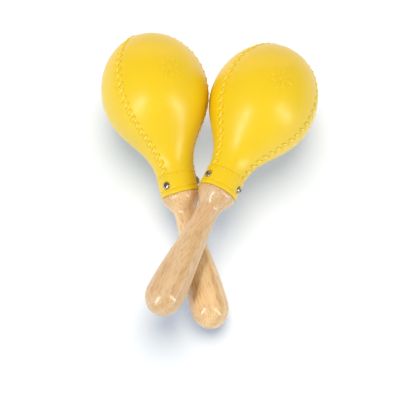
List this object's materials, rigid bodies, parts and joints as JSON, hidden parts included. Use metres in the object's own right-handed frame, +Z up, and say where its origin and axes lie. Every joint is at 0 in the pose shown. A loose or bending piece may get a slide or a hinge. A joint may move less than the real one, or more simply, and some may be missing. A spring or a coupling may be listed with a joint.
{
  "type": "pair of maracas",
  "caption": "Crossed pair of hand maracas: laced yellow plastic heads with collars and screws on turned wooden handles, loose shot inside.",
  "frame": {"origin": "middle of the pair's footprint, on the table", "axes": "+Z up from the table, +Y from the handles' butts towards the heads, +X from the lower maraca's head towards the upper one's"},
  "size_m": [0.183, 0.2482, 0.0903],
  "materials": {
    "turned_wood": "clear lacquer",
    "yellow_plastic": "moulded, glossy",
    "lacing": "moulded, glossy",
    "screw_steel": "nickel plated",
    "shot_steel": "plain"
  },
  "bodies": {
    "lower_maraca": {"lower_handle": "turned_wood", "lower_collar": "yellow_plastic", "lower_shell_panel_a": "yellow_plastic", "lower_shell_panel_b": "yellow_plastic", "lower_shell_panel_c": "yellow_plastic", "lower_lacing_ca": "lacing", "lower_lacing_ab": "lacing", "lower_lacing_bc": "lacing", "lower_screw_a": "screw_steel", "lower_screw_b": "screw_steel", "lower_screw_c": "screw_steel"},
    "lower_shot": {"lower_shot": "shot_steel"},
    "upper_maraca": {"upper_handle": "turned_wood", "upper_collar": "yellow_plastic", "upper_shell_panel_a": "yellow_plastic", "upper_shell_panel_b": "yellow_plastic", "upper_shell_panel_c": "yellow_plastic", "upper_lacing_ca": "lacing", "upper_lacing_ab": "lacing", "upper_lacing_bc": "lacing", "upper_screw_a": "screw_steel", "upper_screw_b": "screw_steel", "upper_screw_c": "screw_steel"},
    "upper_shot": {"upper_shot": "shot_steel"}
  },
  "joints": [
    {"name": "lift_off", "type": "slide", "parent": "lower_maraca", "child": "upper_maraca", "axis": [0, 0, 1], "range_m": [0, 0.15]},
    {"name": "lower_swirl", "type": "hinge", "parent": "lower_maraca", "child": "lower_shot", "pos_m": [-0.04612, 0.07309, 0.04514], "axis": [-0.2446, 0.957, 0.1558], "continuous": true},
    {"name": "upper_swirl", "type": "hinge", "parent": "upper_maraca", "child": "upper_shot", "pos_m": [0.04525, 0.06461, 0.045], "axis": [0.4368, 0.8995, -0.0128], "continuous": true}
  ]
}
